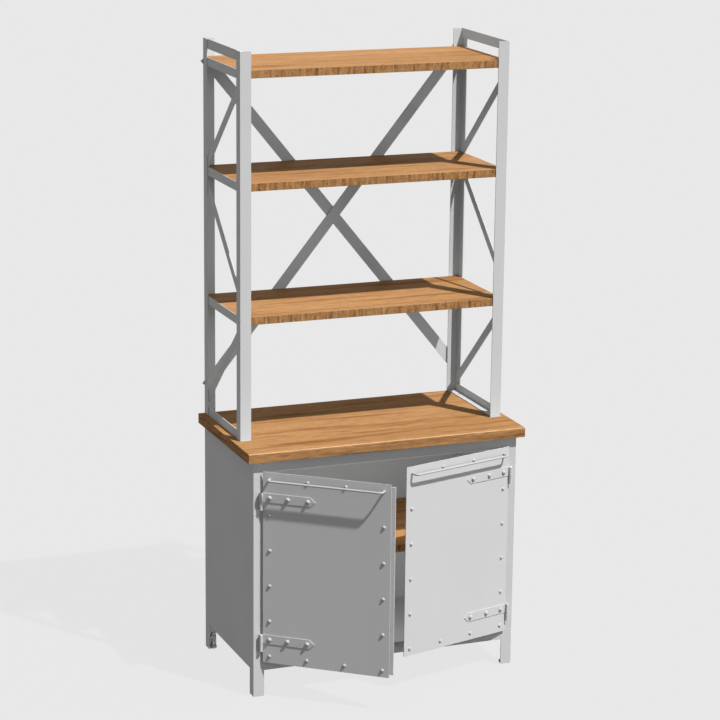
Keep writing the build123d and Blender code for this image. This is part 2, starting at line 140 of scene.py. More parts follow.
# Finishes of the small parts
PLATING_EDGE = 0.0006
PLATING_WEAR = 0.15
PLATING_METALLIC = 0.85
PLATING_ROUGHNESS = 0.36
HINGE_EDGE = 0.0006
STUD_EDGE = 0.0008
FOOT_EDGE = 0.001
WELD_EDGE = 0.0004
THREAD_EDGE = 0.0002
WELD_WEAR = 0.2
CATCH_COLOUR = (0.05, 0.05, 0.052)
CATCH_ROUGHNESS = 0.55

# Weld beads and threads: points on a profile, and how far a thread reaches past its stem
BEAD_POINTS = 6
BEAD_STEPS = 6
BEAD_SWELL = 0.2
BEAD_RUN_OUT = 0.35
THREAD_POINTS = 28
THREAD_STEPS = 8
THREAD_SINK = 0.0005
THREAD_LAP = 0.0003
THREAD_SKIN = 0.00005

# Stage
FLOOR_MATT = 0.03
FLOOR_RADIUS = 60.0
FLOOR_POINTS = 96
LAMP_WIDTH = 0.9
LAMP_SHARE = 0.66
LAMP_CENTRE = 0.64
LAMP_STAND_OFF = 0.012
UNDER_LOW = 0.02
UNDER_DROP = 0.03
UNDER_DEPTH = 0.05
SENSOR_WIDTH = 36.0
CAMERA_REACH = 200.0


# Node helpers


def feed(tree, socket, value):
    """Links a socket to an input, or sets the input to a plain value."""
    if isinstance(value, bpy.types.NodeSocket):
        tree.links.new(value, socket)
    else:
        socket.default_value = value


def add(tree, kind, inputs=None, **settings):
    """Adds a node with its settings and feeds the named or numbered inputs."""
    made = tree.nodes.new(kind)
    for name, value in settings.items():
        setattr(made, name, value)
    for key, value in (inputs or {}).items():
        feed(tree, made.inputs[key], value)
    return made


def calc(tree, operation, *values):
    """The result of a Math node on sockets or numbers."""
    return add(tree, "ShaderNodeMath", dict(enumerate(values)), operation=operation).outputs[0]


def vector(tree, operation, *values):
    """The result of a Vector Math node on sockets or triples."""
    return add(tree, "ShaderNodeVectorMath", dict(enumerate(values)), operation=operation).outputs[0]


def ease(tree, value, low, high):
    """A smooth step from 0 at low to 1 at high."""
    made = add(tree, "ShaderNodeMapRange", {0: value, 1: low, 2: high}, interpolation_type="SMOOTHSTEP")
    return made.outputs[0]


def noise(tree, place, detail=3.0, roughness=0.55, scale=1.0):
    """Smooth noise from 0 to 1 at a place."""
    inputs = {"Vector": place, "Scale": scale, "Detail": detail, "Roughness": roughness}
    return add(tree, "ShaderNodeTexNoise", inputs).outputs[0]


def tint(tree, factor, first, second, blend_type="MIX"):
    """Two colours mixed by a factor."""
    inputs = {0: factor, 6: first, 7: second}
    return add(tree, "ShaderNodeMix", inputs, data_type="RGBA", blend_type=blend_type).outputs[2]


def mix_places(tree, factor, first, second):
    """Two places mixed by a factor."""
    made = add(tree, "ShaderNodeMix", {0: factor, 4: first, 5: second}, data_type="VECTOR")
    return made.outputs[1]


def seen_rays(tree):
    """1 for rays from the camera, from reflections and through glass, else 0."""
    path = tree.nodes.new("ShaderNodeLightPath").outputs
    seen = calc(tree, "MAXIMUM", path["Is Camera Ray"], path["Is Glossy Ray"])
    return calc(tree, "MAXIMUM", seen, path["Is Transmission Ray"])


def new_group(name, inputs, outputs):
    """An empty shader node group with named sockets; returns its tree, its inputs and its output node."""
    tree = bpy.data.node_groups.new(name, "ShaderNodeTree")
    for socket, kind, value in inputs:
        made = tree.interface.new_socket(socket, in_out="INPUT", socket_type=kind)
        made.default_value = value
    for socket, kind in outputs:
        tree.interface.new_socket(socket, in_out="OUTPUT", socket_type=kind)
    start = tree.nodes.new("NodeGroupInput")
    end = tree.nodes.new("NodeGroupOutput")
    return tree, start.outputs, end.inputs


# Shared effects


def paint_coat_group():
    """Satin paint on steel: faint cloudy shade, fine peel, rounded and rubbed edges, a few small chips."""
    name = "paint coat"
    if name in bpy.data.node_groups:
        return bpy.data.node_groups[name]
    tree, given, out = new_group(
        name,
        [
            ("Paint", "NodeSocketColor", (0.6, 0.6, 0.6, 1.0)),
            ("Steel", "NodeSocketColor", (0.32, 0.31, 0.3, 1.0)),
            ("Gloss Loss", "NodeSocketFloat", 0.45),
            ("Edge Width", "NodeSocketFloat", 0.0012),
            ("Wear", "NodeSocketFloat", 0.3),
        ],
        [
            ("Colour", "NodeSocketColor"),
            ("Roughness", "NodeSocketFloat"),
            ("Bare", "NodeSocketFloat"),
            ("Normal", "NodeSocketVector"),
        ],
    )
    place = tree.nodes.new("ShaderNodeTexCoord").outputs["Object"]
    cloud = noise(tree, place, 3.0, 0.5, PAINT_CLOUD)
    drift = noise(tree, vector(tree, "MULTIPLY", place, PAINT_DRIFT), 3.0, 0.5)
    shade = calc(tree, "MULTIPLY_ADD", cloud, 0.07, 0.965)
    shade = calc(tree, "MULTIPLY_ADD", calc(tree, "SUBTRACT", drift, 0.5), 0.035, shade)
    grey = add(tree, "ShaderNodeCombineColor", {0: shade, 1: shade, 2: shade}).outputs[0]
    painted = tint(tree, 1.0, given["Paint"], grey, "MULTIPLY")

    round_edge = add(tree, "ShaderNodeBevel", {"Radius": given["Edge Width"]}, samples=6).outputs[0]
    flat = tree.nodes.new("ShaderNodeNewGeometry").outputs["True Normal"]
    turn = add(tree, "ShaderNodeVectorMath", {0: round_edge, 1: flat}, operation="DOT_PRODUCT")
    edge = ease(tree, calc(tree, "SUBTRACT", 1.0, turn.outputs["Value"]), 0.02, 0.22)
    patchy = ease(tree, noise(tree, place, 5.0, 0.6, PAINT_RUB), 0.52, 0.66)
    rubbed = calc(tree, "MULTIPLY", calc(tree, "MULTIPLY", edge, patchy), given["Wear"])
    fleck = ease(tree, noise(tree, place, 3.0, 0.55, PAINT_FLECK), 0.74, 0.78)
    chipped = calc(tree, "MULTIPLY", fleck, calc(tree, "MULTIPLY", given["Wear"], 0.25))
    bare = calc(tree, "MAXIMUM", rubbed, chipped)
    colour = tint(tree, bare, painted, given["Steel"])

    peel = noise(tree, place, 2.0, 0.5, PAINT_PEEL)
    handled = noise(tree, place, 4.0, 0.6, PAINT_HANDLED)
    rough = calc(tree, "MULTIPLY_ADD", calc(tree, "SUBTRACT", handled, 0.5), 0.16, given["Gloss Loss"])
    rough = calc(tree, "MULTIPLY_ADD", bare, -0.08, rough)
    bump = add(
        tree,
        "ShaderNodeBump",
        {"Strength": 0.22, "Distance": 0.0002, "Height": peel, "Normal": round_edge},
    ).outputs[0]
    feed(tree, out["Colour"], colour)
    feed(tree, out["Roughness"], rough)
    feed(tree, out["Bare"], bare)
    feed(tree, out["Normal"], bump)
    return tree


def wood_grain_group():
    """Oiled boards: long reddish streaks, blotches and fibres along X.

    Sawn front edges carry upright streaks, and the ends carry layers. Rounded edges such as the worktop's
    nose get a painted highlight that lightens their colour.
    """
    name = "wood grain"
    if name in bpy.data.node_groups:
        return bpy.data.node_groups[name]
    tree, given, out = new_group(
        name,
        [
            ("Pale", "NodeSocketColor", (0.45, 0.24, 0.1, 1.0)),
            ("Honey", "NodeSocketColor", (0.4, 0.2, 0.08, 1.0)),
            ("Russet", "NodeSocketColor", (0.26, 0.1, 0.035, 1.0)),
            ("Dark", "NodeSocketColor", (0.16, 0.07, 0.026, 1.0)),
            ("Board Height", "NodeSocketFloat", 0.0),
            ("Board Shift", "NodeSocketFloat", 0.0),
            ("Upright Edge", "NodeSocketFloat", 0.0),
            ("Stave Width", "NodeSocketFloat", 0.1),
        ],
        [
            ("Colour", "NodeSocketColor"),
            ("Roughness", "NodeSocketFloat"),
            ("Nose", "NodeSocketFloat"),
            ("Normal", "NodeSocketVector"),
        ],
    )
    coord = tree.nodes.new("ShaderNodeTexCoord")
    x, y, z = add(tree, "ShaderNodeSeparateXYZ", {0: coord.outputs["Object"]}).outputs
    nx, ny, nz = add(tree, "ShaderNodeSeparateXYZ", {0: coord.outputs["Normal"]}).outputs
    front = ease(tree, calc(tree, "ABSOLUTE", ny), 0.75, 0.9)
    ends = ease(tree, calc(tree, "ABSOLUTE", nx), 0.6, 0.8)
    upright = calc(tree, "MULTIPLY", front, given["Upright Edge"])
    nose = ease(tree, calc(tree, "MULTIPLY", calc(tree, "ABSOLUTE", ny), nz), 0.12, 0.4)

    # Each stave takes its own part of the pattern, by a number for the strip of Y that it fills
    strip = calc(tree, "FLOOR", calc(tree, "DIVIDE", calc(tree, "ADD", y, 3.0), given["Stave Width"]))
    number = calc(tree, "ADD", strip, calc(tree, "MULTIPLY", given["Board Shift"], 7.0))
    own = add(tree, "ShaderNodeTexWhiteNoise", {"W": number}, noise_dimensions="1D").outputs["Value"]
    along = calc(tree, "ADD", calc(tree, "MULTIPLY_ADD", own, STAVE_SLIDE, x), given["Board Shift"])
    up = calc(tree, "SUBTRACT", z, given["Board Height"])
    thick = calc(tree, "MULTIPLY", up, BOARD_THROUGH)
    lengthwise = add(tree, "ShaderNodeCombineXYZ", {0: along, 1: y, 2: thick}).outputs[0]
    wide = calc(tree, "MULTIPLY", calc(tree, "ADD", x, given["Board Shift"]), SAWN_WIDTH)
    tall = calc(tree, "MULTIPLY", up, SAWN_STRETCH)
    sawn = add(tree, "ShaderNodeCombineXYZ", {0: tall, 1: wide, 2: y}).outputs[0]
    deep = calc(tree, "MULTIPLY", calc(tree, "ADD", y, given["Board Shift"]), SAWN_STRETCH)
    layers = add(tree, "ShaderNodeCombineXYZ", {0: deep, 1: thick, 2: x}).outputs[0]
    place = mix_places(tree, upright, lengthwise, sawn)
    place = mix_places(tree, ends, place, layers)
    sway = noise(tree, vector(tree, "MULTIPLY", place, GRAIN_SWAY), 2.0, 0.5)
    sway = calc(tree, "MULTIPLY", calc(tree, "SUBTRACT", sway, 0.5), 0.05)
    shift = add(tree, "ShaderNodeCombineXYZ", {1: sway, 2: sway}).outputs[0]
    place = vector(tree, "ADD", place, shift)

    tone = noise(tree, vector(tree, "MULTIPLY", place, GRAIN_TONE), 3.0, 0.55)
    streak = noise(tree, vector(tree, "MULTIPLY", place, GRAIN_STREAK), 5.0, 0.68)
    blotch = noise(tree, vector(tree, "MULTIPLY", place, GRAIN_BLOTCH), 4.0, 0.65)
    dash = noise(tree, vector(tree, "MULTIPLY", place, GRAIN_DASH), 3.0, 0.6)
    fibre = noise(tree, vector(tree, "MULTIPLY", place, GRAIN_FIBRE), 3.0, 0.6)
    pore = noise(tree, vector(tree, "MULTIPLY", place, GRAIN_PORE), 2.0, 0.5)
    colour = tint(tree, ease(tree, tone, 0.34, 0.66), given["Pale"], given["Honey"])
    broken = calc(tree, "MULTIPLY_ADD", blotch, 0.9, 0.45)
    red = calc(tree, "MULTIPLY", ease(tree, streak, 0.5, 0.68), broken)
    colour = tint(tree, red, colour, given["Russet"])
    dashes = ease(tree, dash, 0.56, 0.74)
    pores = calc(tree, "MULTIPLY", ease(tree, pore, 0.58, 0.7), ease(tree, streak, 0.4, 0.6))
    flecks = calc(tree, "MAXIMUM", calc(tree, "MULTIPLY", dashes, 0.5), calc(tree, "MULTIPLY", pores, 0.5))
    colour = tint(tree, flecks, colour, given["Dark"])
    value = calc(tree, "MULTIPLY_ADD", fibre, 0.22, 0.89)
    edges = calc(tree, "MAXIMUM", front, ends)
    mottled = calc(tree, "MULTIPLY_ADD", edges, 0.85, 0.6)
    value = calc(tree, "MULTIPLY_ADD", calc(tree, "SUBTRACT", blotch, 0.5), mottled, value)
    value = calc(tree, "MULTIPLY_ADD", calc(tree, "SUBTRACT", own, 0.5), 0.07, value)
    bold = calc(tree, "MULTIPLY", edges, -1.1)
    value = calc(tree, "MULTIPLY_ADD", calc(tree, "SUBTRACT", streak, 0.5), bold, value)
    # Painted highlight: the base colour is lightened along rounded edges such as the worktop's nose
    value = calc(tree, "MULTIPLY_ADD", nose, 0.06, value)
    value = calc(tree, "MULTIPLY_ADD", front, -0.13, value)
    grey = add(tree, "ShaderNodeCombineColor", {0: value, 1: value, 2: value}).outputs[0]
    colour = tint(tree, 1.0, colour, grey, "MULTIPLY")

    rough = calc(tree, "MULTIPLY_ADD", streak, 0.14, 0.4)
    rough = calc(tree, "MULTIPLY_ADD", pores, 0.15, rough)
    height = calc(tree, "MULTIPLY_ADD", fibre, 0.35, calc(tree, "MULTIPLY", streak, 0.4))
    height = calc(tree, "MULTIPLY_ADD", pores, -0.8, height)
    round_edge = add(tree, "ShaderNodeBevel", {"Radius": BOARD_EDGE}, samples=4).outputs[0]
    bump = add(
        tree,
        "ShaderNodeBump",
        {"Strength": 0.35, "Distance": 0.0004, "Height": height, "Normal": round_edge},
    ).outputs[0]
    feed(tree, out["Colour"], colour)
    feed(tree, out["Roughness"], rough)
    feed(tree, out["Nose"], calc(tree, "MULTIPLY", nose, 0.5))
    feed(tree, out["Normal"], bump)
    return tree


# Materials


def new_material(name):
    """A material with only a Principled BSDF; returns the material, its tree and that node."""
    material = bpy.data.materials.new(name)
    material.use_nodes = True
    tree = material.node_tree
    return material, tree, tree.nodes["Principled BSDF"]


def coated_material(name, colour, roughness, wear, edge_width):
    """A material with the paint coat's colour, roughness and normal; returns the coat's node too."""
    material, tree, shader = new_material(name)
    coat = add(tree, "ShaderNodeGroup", node_tree=paint_coat_group())
    coat.inputs["Paint"].default_value = (*colour, 1.0)
    coat.inputs["Gloss Loss"].default_value = roughness
    coat.inputs["Edge Width"].default_value = edge_width
    coat.inputs["Wear"].default_value = wear
    feed(tree, shader.inputs["Base Color"], coat.outputs["Colour"])
    feed(tree, shader.inputs["Roughness"], coat.outputs["Roughness"])
    feed(tree, shader.inputs["Normal"], coat.outputs["Normal"])
    return material, tree, shader, coat


def paint_material(name, paint, roughness, wear, edge_width):
    """Satin paint with its own colour, gloss and wear."""
    material, tree, shader, coat = coated_material(name, paint, roughness, wear, edge_width)
    feed(tree, shader.inputs["Metallic"], coat.outputs["Bare"])
    shader.inputs["Specular IOR Level"].default_value = PAINT_SPECULAR
    return material


def zinc_material(name, colour, roughness):
    """Plated steel: the paint coat's cloudy shade and rounded edges on a metal base."""
    material, _, shader, _ = coated_material(name, colour, roughness, PLATING_WEAR, PLATING_EDGE)
    shader.inputs["Metallic"].default_value = PLATING_METALLIC
    return material


def wood_material(name, wood, height, shift, upright_edge, stave_width):
    """Oiled wood for one board; light that it sends on is kept neutral, so that the steel stays grey."""
    material, tree, shader = new_material(name)
    grain = add(tree, "ShaderNodeGroup", node_tree=wood_grain_group())
    for socket in ("pale", "honey", "russet", "dark"):
        grain.inputs[socket.capitalize()].default_value = (*getattr(wood, socket), 1.0)
    grain.inputs["Board Height"].default_value = height
    grain.inputs["Board Shift"].default_value = shift
    grain.inputs["Upright Edge"].default_value = upright_edge
    grain.inputs["Stave Width"].default_value = stave_width
    bounced = tree.nodes.new("ShaderNodeLightPath").outputs["Is Diffuse Ray"]
    colour = tint(tree, bounced, grain.outputs["Colour"], BOUNCED_WOOD)
    feed(tree, shader.inputs["Base Color"], colour)
    feed(tree, shader.inputs["Roughness"], grain.outputs["Roughness"])
    feed(tree, shader.inputs["Normal"], grain.outputs["Normal"])
    feed(tree, shader.inputs["Coat Weight"], grain.outputs["Nose"])
    shader.inputs["Coat Roughness"].default_value = OIL_COAT_ROUGHNESS
    shader.inputs["Specular IOR Level"].default_value = OIL_SPECULAR
    return material


def dress(names, material):
    """Gives CAD pieces a material."""
    for name in names:
        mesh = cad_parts[name].data
        mesh.materials.clear()
        mesh.materials.append(material)


# New pieces


def tube_faces(count, rings, points):
    """Quads between each ring of points and the next, and a cap on both ends of each tube.

    Rings run anticlockwise, and each tube's numbers start where those of the last one end.
    """
    ring, point = np.meshgrid(np.arange(rings - 1), np.arange(points), indexing="ij")
    low, high = ring * points, (ring + 1) * points
    after = (point + 1) % points
    quads = np.stack((low + point, low + after, high + after, high + point), axis=-1).reshape(-1, 4)
    rim = np.arange(points)
    caps = np.stack((rim[::-1], rim + (rings - 1) * points))
    start = (np.arange(count) * rings * points)[:, None, None]
    sides = (quads[None] + start).reshape(-1, 4).tolist()
    return sides + (caps[None] + start).reshape(-1, points).tolist()


def tube_piece(name, tubes, body, material):
    """One piece from an array of tubes, shaped tube by ring by point by XYZ."""
    mesh = bpy.data.meshes.new(name)
    mesh.from_pydata(tubes.reshape(-1, 3).tolist(), [], tube_faces(*tubes.shape[:3]))
    mesh.materials.append(material)
    piece = bpy.data.objects.new(name, mesh)
    bpy.context.collection.objects.link(piece)
    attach(piece, body)


def weld_beads(starts, ends, first, second, radius, ripple):
    """Weld beads: P(u, v) = start + u (end - start) + r(u) (cos v first + sin v second).

    Here v runs over a quarter turn, and the corner itself closes the profile. r(u) swells by a tenth at each
    ripple and runs out at both ends.
    """
    length = np.linalg.norm(ends - starts, axis=1).max()
    u = np.linspace(0.0, 1.0, int(length / ripple) * BEAD_STEPS + 1)
    swell = 1.0 + BEAD_SWELL * (np.abs(np.sin(np.pi * u * length / ripple)) - 0.5)
    run_out = np.clip(np.minimum(u, 1.0 - u) * length / radius + BEAD_RUN_OUT, 0.0, 1.0)
    grown = radius * swell * run_out
    v = np.linspace(0.0, np.pi / 2, BEAD_POINTS)[None, :, None]
    arc = np.cos(v) * first[:, None, :] + np.sin(v) * second[:, None, :]
    arc = np.concatenate([arc, np.zeros_like(arc[:, :1])], axis=1)
    line = starts[:, None, :] + u[None, :, None] * (ends - starts)[:, None, :]
    return line[:, :, None, :] + grown[None, :, None, None] * arc[:, None, :, :]


def screw_threads(centres, low, high, core, depth, pitch):
    """Screw threads: a round bar whose radius is core + depth |2 frac(z / pitch - turn) - 1|.

    Here turn runs from 0 to 1 round the bar.
    """
    z = np.linspace(low, high, int((high - low) / pitch * THREAD_STEPS) + 1)[:, None]
    turn = np.linspace(0.0, 1.0, THREAD_POINTS, endpoint=False)[None, :]
    phase = (z / pitch - turn) % 1.0
    radius = core + depth * np.abs(2.0 * phase - 1.0)
    angle = 2.0 * np.pi * turn
    height = np.broadcast_to(z, radius.shape)
    ring = np.stack([radius * np.cos(angle), radius * np.sin(angle), height], axis=-1)
    place = np.concatenate([centres, np.zeros((len(centres), 1))], axis=1)
    return ring[None] + place[:, None, None, :]


# Settings


class BuffetPaintSettings(bpy.types.PropertyGroup):
    """Colours and wear of the painted steel."""

    frame_colour: bpy.props.FloatVectorProperty(
        name="Frame colour",
        description="Paint of the angle irons and braces",
        subtype="COLOR",
        default=(0.583, 0.583, 0.583),
        min=0.0,
        max=1.0,
    )
    panel_colour: bpy.props.FloatVectorProperty(
        name="Panel colour",
        description="Paint of the cabinet's sheet panels",
        subtype="COLOR",
        default=(0.575, 0.575, 0.575),
        min=0.0,
        max=1.0,
    )
    door_colour: bpy.props.FloatVectorProperty(
        name="Door colour",
        description="Paint of the riveted doors",
        subtype="COLOR",
        default=(0.6, 0.6, 0.6),
        min=0.0,
        max=1.0,
    )
    stud_colour: bpy.props.FloatVectorProperty(
        name="Rivet colour",
        description="Paint of the rivets, hinge bolts and handles",
        subtype="COLOR",
        default=(0.48, 0.48, 0.48),
        min=0.0,
        max=1.0,
    )
    foot_colour: bpy.props.FloatVectorProperty(
        name="Foot colour",
        description="Paint of the levelling feet and their lock nuts",
        subtype="COLOR",
        default=(0.5, 0.5, 0.5),
        min=0.0,
        max=1.0,
    )
    zinc_colour: bpy.props.FloatVectorProperty(
        name="Plating colour",
        description="Plated bolts, pins and screws",
        subtype="COLOR",
        default=(0.56, 0.56, 0.55),
        min=0.0,
        max=1.0,
    )
    roughness: bpy.props.FloatProperty(
        name="Roughness",
        description="Roughness of the satin paint",
        subtype="FACTOR",
        default=0.5,
        min=0.0,
        max=1.0,
    )
    wear: bpy.props.FloatProperty(
        name="Wear",
        description="How much bare steel shows on rubbed edges",
        subtype="FACTOR",
        default=0.35,
        min=0.0,
        max=1.0,
    )
    edge_width: bpy.props.FloatProperty(
        name="Edge rounding",
        description="Radius of the soft paint edge on bars and sheets",
        unit="LENGTH",
        default=0.0012,
        min=0.0,
    )


class BuffetDetailSettings(bpy.types.PropertyGroup):
    """Sizes of the weld beads and the screw threads."""

    leaf_height: bpy.props.FloatProperty(
        name="Leaf height",
        description="Height of one fixed hinge leaf",
        unit="LENGTH",
        default=0.0625,
        min=0.0,
    )
    leaf_web: bpy.props.FloatProperty(
        name="Leaf web",
        description="Thickness of the web between the knuckle and the leg",
        unit="LENGTH",
        default=0.005,
        min=0.0,
    )
    bead_radius: bpy.props.FloatProperty(
        name="Bead radius",
        description="Radius of the weld bead in the corner",
        unit="LENGTH",
        default=0.0018,
        min=0.0,
    )
    bead_ripple: bpy.props.FloatProperty(
        name="Bead ripple",
        description="Length of one ripple of the weld bead",
        unit="LENGTH",
        default=0.0024,
        min=0.0001,
    )
    foot_radius: bpy.props.FloatProperty(
        name="Foot radius",
        description="Radius of a levelling foot's disc",
        unit="LENGTH",
        default=0.0165,
        min=0.0,
    )
    foot_disc: bpy.props.FloatProperty(
        name="Foot disc",
        description="Height of a levelling foot's disc",
        unit="LENGTH",
        default=0.008,
        min=0.0,
    )
    stem_radius: bpy.props.FloatProperty(
        name="Stem radius",
        description="Radius of a levelling foot's stem",
        unit="LENGTH",
        default=0.005,
        min=0.0,
    )
    thread_depth: bpy.props.FloatProperty(
        name="Thread depth",
        description="How far the thread stands off the stem",
        unit="LENGTH",
        default=0.0006,
        min=0.0,
    )
    thread_pitch: bpy.props.FloatProperty(
        name="Thread pitch",
        description="Rise of the thread in one turn",
        unit="LENGTH",
        default=0.0015,
        min=0.0001,
    )


class BuffetWoodSettings(bpy.types.PropertyGroup):
    """Colours of the oiled boards."""

    pale: bpy.props.FloatVectorProperty(
        name="Pale wood",
        description="Lightest bands between the growth lines",
        subtype="COLOR",
        default=(0.455, 0.242, 0.1),
        min=0.0,
        max=1.0,
    )
    honey: bpy.props.FloatVectorProperty(
        name="Honey wood",
        description="Main colour of the boards",
        subtype="COLOR",
        default=(0.395, 0.2, 0.078),
        min=0.0,
        max=1.0,
    )
    russet: bpy.props.FloatVectorProperty(
        name="Russet streaks",
        description="Reddish streaks along the grain",
        subtype="COLOR",
        default=(0.25, 0.095, 0.03),
        min=0.0,
        max=1.0,
    )
    dark: bpy.props.FloatVectorProperty(
        name="Pores",
        description="Dark pores and fine lines",
        subtype="COLOR",
        default=(0.2, 0.09, 0.036),
        min=0.0,
        max=1.0,
    )
    stave_width: bpy.props.FloatProperty(
        name="Stave width",
        description="Width of the glued staves",
        unit="LENGTH",
        default=0.101,
        min=0.01,
    )


class BuffetStageSettings(bpy.types.PropertyGroup):
    """Camera, light and floor."""

    camera_place: bpy.props.FloatVectorProperty(
        name="Camera place",
        description="Where the camera stands",
        subtype="TRANSLATION",
        unit="LENGTH",
        default=(-3.26872, -8.29718, 3.39906),
    )
    camera_turn: bpy.props.FloatVectorProperty(
        name="Camera turn",
        description="Turn to the right of the depth axis, tilt up and roll",
        subtype="EULER",
        unit="ROTATION",
        default=(math.radians(21.4994), math.radians(-14.2898), math.radians(0.6241)),
    )
    lens: bpy.props.FloatProperty(
        name="Lens",
        description="Focal length on a 36 mm sensor",
        default=127.708,
        min=1.0,
    )
    light_from: bpy.props.FloatVectorProperty(
        name="Light from",
        description="Direction towards the key light",
        subtype="DIRECTION",
        default=(0.284, -0.46, 0.842),
    )
    key_strength: bpy.props.FloatProperty(
        name="Key strength",
        description="Strength of the key light",
        default=4.35,
        min=0.0,
    )
    side_from: bpy.props.FloatVectorProperty(
        name="Side light from",
        description="Direction towards the soft side light",
        subtype="DIRECTION",
        default=(0.7, -0.7, 0.07),
    )
    side_strength: bpy.props.FloatProperty(
        name="Side strength",
        description="Strength of the soft side light",
        default=0.45,
        min=0.0,
    )
    key_size: bpy.props.FloatProperty(
        name="Key size",
        description="Apparent size of the key light, which softens the shadows",
        subtype="ANGLE",
        default=math.radians(1.2),
        min=0.0,
    )
    side_size: bpy.props.FloatProperty(
        name="Side size",
        description="Apparent size of the side light, which softens the shadows",
        subtype="ANGLE",
        default=math.radians(14.0),
        min=0.0,
    )
    fill_strength: bpy.props.FloatProperty(
        name="Fill strength",
        description="Power of the soft lamp in each room of the cabinet",
        unit="POWER",
        default=0.94,
        min=0.0,
    )
    under_strength: bpy.props.FloatProperty(
        name="Under strength",
        description="Power of the soft lamp under the cabinet",
        unit="POWER",
        default=0.32,
        min=0.0,
    )
    sky_strength: bpy.props.FloatProperty(
        name="Sky strength",
        description="Even light from all round",
        default=0.32,
        min=0.0,
    )
    floor_bounce: bpy.props.FloatProperty(
        name="Floor bounce",
        description="Light that the pale floor sends back up",
        default=0.1,
        min=0.0,
    )
    backdrop: bpy.props.FloatProperty(
        name="Backdrop",
        description="Grey of the backdrop as the camera sees it",
        subtype="FACTOR",
        default=0.807,
        min=0.0,
        max=1.0,
    )


# Operators


class BuffetPaintFrame(bpy.types.Operator):
    """Paints the angle irons, rails, braces and panels"""

    bl_idname = "buffet.paint_frame"
    bl_label = "Paint the frame"

    def execute(self, context):
        paint = context.scene.buffet_paint
        finish = (paint.roughness, paint.wear, paint.edge_width)
        dress(FRAME_NODES, paint_material("frame paint", paint.frame_colour, *finish))
        dress(PANEL_NODES, paint_material("panel paint", paint.panel_colour, *finish))
        return {"FINISHED"}


class BuffetPaintDoors(bpy.types.Operator):
    """Paints the door plates, their frames, hinges, handles, rivets and bolts"""

    bl_idname = "buffet.paint_doors"
    bl_label = "Paint the doors"

    def execute(self, context):
        paint = context.scene.buffet_paint
        finish = (paint.roughness, paint.wear)
        dress(DOOR_NODES, paint_material("door paint", paint.door_colour, *finish, paint.edge_width))
        rubbed = (paint.roughness - 0.05, paint.wear + 0.1)
        dress(HINGE_NODES, paint_material("hinge paint", paint.frame_colour, *rubbed, HINGE_EDGE))
        dress(STUD_NODES, paint_material("rivet paint", paint.stud_colour, *finish, STUD_EDGE))
        return {"FINISHED"}


class BuffetFinishSmallParts(bpy.types.Operator):
    """Finishes the plated fasteners, the feet and the catches"""

    bl_idname = "buffet.finish_small_parts"
    bl_label = "Finish the small parts"

    def execute(self, context):
        paint = context.scene.buffet_paint
        dress(BRIGHT_NODES, zinc_material("plated steel", paint.zinc_colour, PLATING_ROUGHNESS))
        foot = paint_material("foot paint", paint.foot_colour, paint.roughness, paint.wear, FOOT_EDGE)
        dress(FOOT_NODES, foot)
        dress(CATCH_NODES, paint_material("catch case", CATCH_COLOUR, CATCH_ROUGHNESS, 0.0, FOOT_EDGE))
        return {"FINISHED"}


class BuffetWeldHinges(bpy.types.Operator):
    """Runs weld beads where the fixed hinge leaves meet the legs"""

    bl_idname = "buffet.weld_hinges"
    bl_label = "Weld the hinges"

    def execute(self, context):
        sizes, paint = context.scene.buffet_details, context.scene.buffet_paint
        bead = paint_material("weld paint", paint.frame_colour, paint.roughness, WELD_WEAR, WELD_EDGE)
        for side in ("left", "right"):
            low, high = (np.array(corner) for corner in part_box(f"{side}_hinge_leaves"))
            axis_x = (low[0] + high[0]) / 2
            # One bead on each side of both webs, up on the left side and down on the right side
            way = np.array([-1.0, 1.0, -1.0, 1.0])
            bottom = np.repeat([low[2], high[2] - sizes.leaf_height], 2)
            top = bottom + sizes.leaf_height
            x = axis_x + way * sizes.leaf_web / 2
            y = np.full_like(x, high[1])
            starts = np.stack([x, y, np.where(way < 0, bottom, top)], axis=1)
            ends = np.stack([x, y, np.where(way < 0, top, bottom)], axis=1)
            across = way[:, None] * np.array([1.0, 0.0, 0.0])
            forward = np.tile([0.0, -1.0, 0.0], (len(way), 1))
            tubes = weld_beads(starts, ends, across, forward, sizes.bead_radius, sizes.bead_ripple)
            tube_piece(f"{side}_hinge_welds", tubes, "buffet", bead)
        return {"FINISHED"}


class BuffetCutThreads(bpy.types.Operator):
    """Cuts the screw threads on the levelling feet"""

    bl_idname = "buffet.cut_threads"
    bl_label = "Cut the foot threads"

    def execute(self, context):
        sizes, paint = context.scene.buffet_details, context.scene.buffet_paint
        low, high = (np.array(corner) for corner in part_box("levelling_feet"))
        near, far = low + sizes.foot_radius, high - sizes.foot_radius
        x, y = np.meshgrid((near[0], far[0]), (near[1], far[1]), indexing="ij")
        centres = np.stack([x.ravel(), y.ravel()], axis=1)
        bottom, top = sizes.foot_disc - THREAD_SINK, high[2] + THREAD_LAP
        core = sizes.stem_radius + THREAD_SKIN
        tubes = screw_threads(centres, bottom, top, core, sizes.thread_depth, sizes.thread_pitch)
        coat = paint_material("thread paint", paint.foot_colour, paint.roughness, WELD_WEAR, THREAD_EDGE)
        tube_piece("foot_threads", tubes, "buffet", coat)
        return {"FINISHED"}


class BuffetOilBoards(bpy.types.Operator):
    """Gives the worktop and the shelves their oiled wood"""

    bl_idname = "buffet.oil_boards"
    bl_label = "Oil the boards"

    def execute(self, context):
        wood = context.scene.buffet_wood
        for order, name in enumerate(("worktop", *SHELF_NODES)):
            low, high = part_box(name)
            middle = (low[2] + high[2]) / 2
            upright_edge = 0.0 if name == "worktop" else 1.0
            shift = BOARD_STEP * order
            board = wood_material(f"{name} oil", wood, middle, shift, upright_edge, wood.stave_width)
            dress((name,), board)
        return {"FINISHED"}


